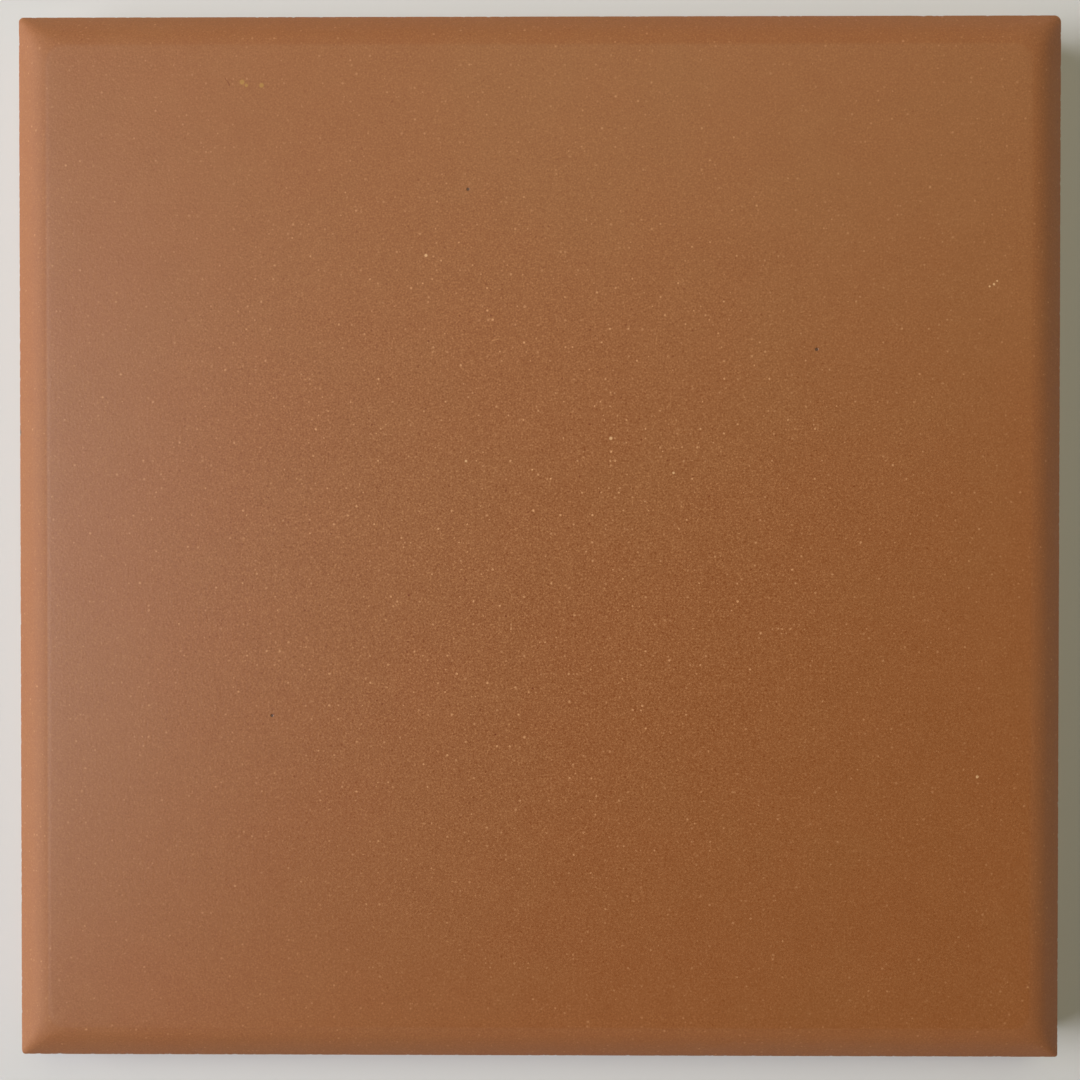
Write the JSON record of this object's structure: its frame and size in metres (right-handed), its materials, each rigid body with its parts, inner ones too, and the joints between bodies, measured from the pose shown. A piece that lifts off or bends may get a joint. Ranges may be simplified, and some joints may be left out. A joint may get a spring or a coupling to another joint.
{
  "type": "porcelain tile",
  "caption": "Square unglazed porcelain floor tile with a softly rolled edge on all sides and a keyed back.",
  "frame": {"origin": "middle of the flat back, on the bedding plane", "axes": "+Z out of the face, +X and +Y along the sides; the picture's right is +X and its top is +Y"},
  "size_m": [0.098, 0.098, 0.007],
  "materials": {
    "fired_body": "unglazed, fine satin, through-coloured red-brown with pale and dark specks"
  },
  "bodies": {
    "root": {"tile": "fired_body"}
  },
  "joints": []
}
